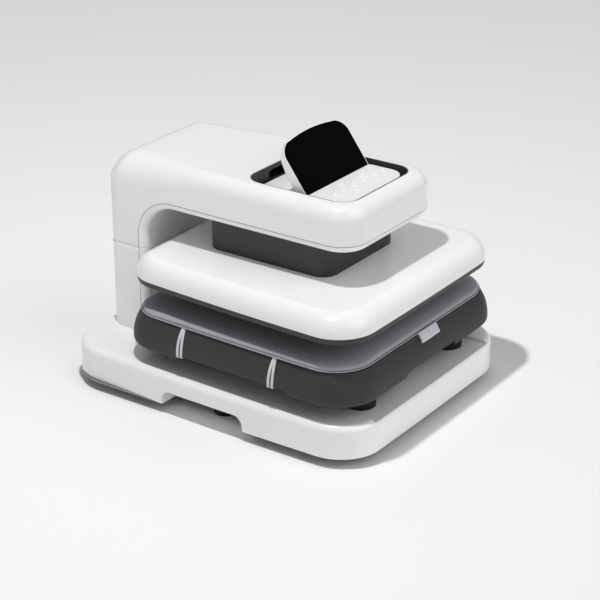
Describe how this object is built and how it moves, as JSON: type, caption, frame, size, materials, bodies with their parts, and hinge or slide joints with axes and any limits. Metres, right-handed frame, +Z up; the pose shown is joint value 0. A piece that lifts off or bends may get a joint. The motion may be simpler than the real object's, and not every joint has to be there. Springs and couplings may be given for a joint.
{
  "type": "flat heat press",
  "caption": "Flat heat press: C-shaped white stand, screw-driven heated platen, pull-out padded tray, fold-up display in the arm",
  "frame": {"origin": "On the table under the middle of the base, at the underside of the rubber feet.", "axes": "+X is the operator's right, +Y is towards the column at the back, +Z is up."},
  "size_m": [0.4166, 0.5196, 0.3951],
  "materials": {
    "white_shell": "white moulded plastic, satin",
    "dark_shell": "dark grey moulded plastic",
    "charcoal_shell": "charcoal moulded plastic, fine grain",
    "black_plastic": "black plastic",
    "black_rubber": "black rubber",
    "screen_glass": "gloss black screen",
    "pad_cloth": "lavender grey woven cloth",
    "white_ribbon": "white elastic and woven tape",
    "mat": "glass fibre mat",
    "heat_plate": "coated cast aluminium",
    "steel": "plated sheet steel",
    "bright_steel": "ground steel",
    "zinc": "zinc plated steel",
    "brass": "machined brass",
    "circuit_board": "green circuit board"
  },
  "bodies": {
    "stand": {"base_cover": "white_shell", "base_plate": "steel", "base_feet": "black_rubber", "base_screws": "zinc", "base_tubes": "steel", "frame_plate_left": "steel", "frame_plate_right": "steel", "frame_bolts": "zinc", "arm_plate": "steel", "column_plate": "steel", "lower_cover": "white_shell", "upper_cover": "white_shell", "throat_liner": "white_shell", "column_liner": "white_shell", "control_tub": "dark_shell", "well_floor_plate": "white_shell", "key_panel": "white_shell", "key_board": "circuit_board", "lift_gearbox": "zinc", "lift_motor": "black_plastic", "guide_rods": "bright_steel", "power_board": "circuit_board", "mains_inlet": "black_plastic", "inlet_blades": "brass", "switch_housing": "black_plastic", "tray_rails": "steel", "hinge_pins": "bright_steel"},
    "platen": {"platen_cover": "white_shell", "platen_rim": "dark_shell", "heat_plate": "heat_plate", "heating_element": "bright_steel", "insulation_mat": "mat", "thermostat": "black_plastic", "carriage": "steel", "carriage_screws": "zinc", "plate_standoffs": "steel", "lift_nut": "brass", "guide_bushes": "brass", "shroud": "dark_shell"},
    "screw": {"lift_screw": "bright_steel"},
    "tray": {"tray_shell": "charcoal_shell", "tray_feet": "black_rubber", "tray_board": "steel", "tray_runners": "black_plastic", "pad": "pad_cloth", "elastic_straps": "white_ribbon", "sewn_label": "white_ribbon"},
    "display": {"display_back": "white_shell", "display_glass": "screen_glass", "display_module": "circuit_board"},
    "switch_rocker": {"rocker": "black_plastic"}
  },
  "joints": [
    {"name": "platen_lift", "type": "slide", "parent": "stand", "child": "platen", "axis": [0, 0, 1], "range_m": [-0.031, 0]},
    {"name": "screw_turn", "type": "hinge", "parent": "stand", "child": "screw", "pos_m": [0, -0.0472, 0.246], "axis": [0, 0, 1], "range_deg": [-2800, 2800]},
    {"name": "tray_slide", "type": "slide", "parent": "stand", "child": "tray", "axis": [0, -1, 0], "range_m": [0, 0.22]},
    {"name": "display_fold", "type": "hinge", "parent": "stand", "child": "display", "pos_m": [0, -0.08925, 0.3259], "axis": [1, 0, 0], "range_deg": [-53.5, 6.5]},
    {"name": "switch_turn", "type": "hinge", "parent": "stand", "child": "switch_rocker", "pos_m": [0.036, 0.22975, 0.106], "axis": [1, 0, 0], "range_deg": [-20, 0]}
  ],
  "couplings": [
    {"joint": "screw_turn", "follows": "platen_lift", "rad_per_m": -1570.8}
  ]
}
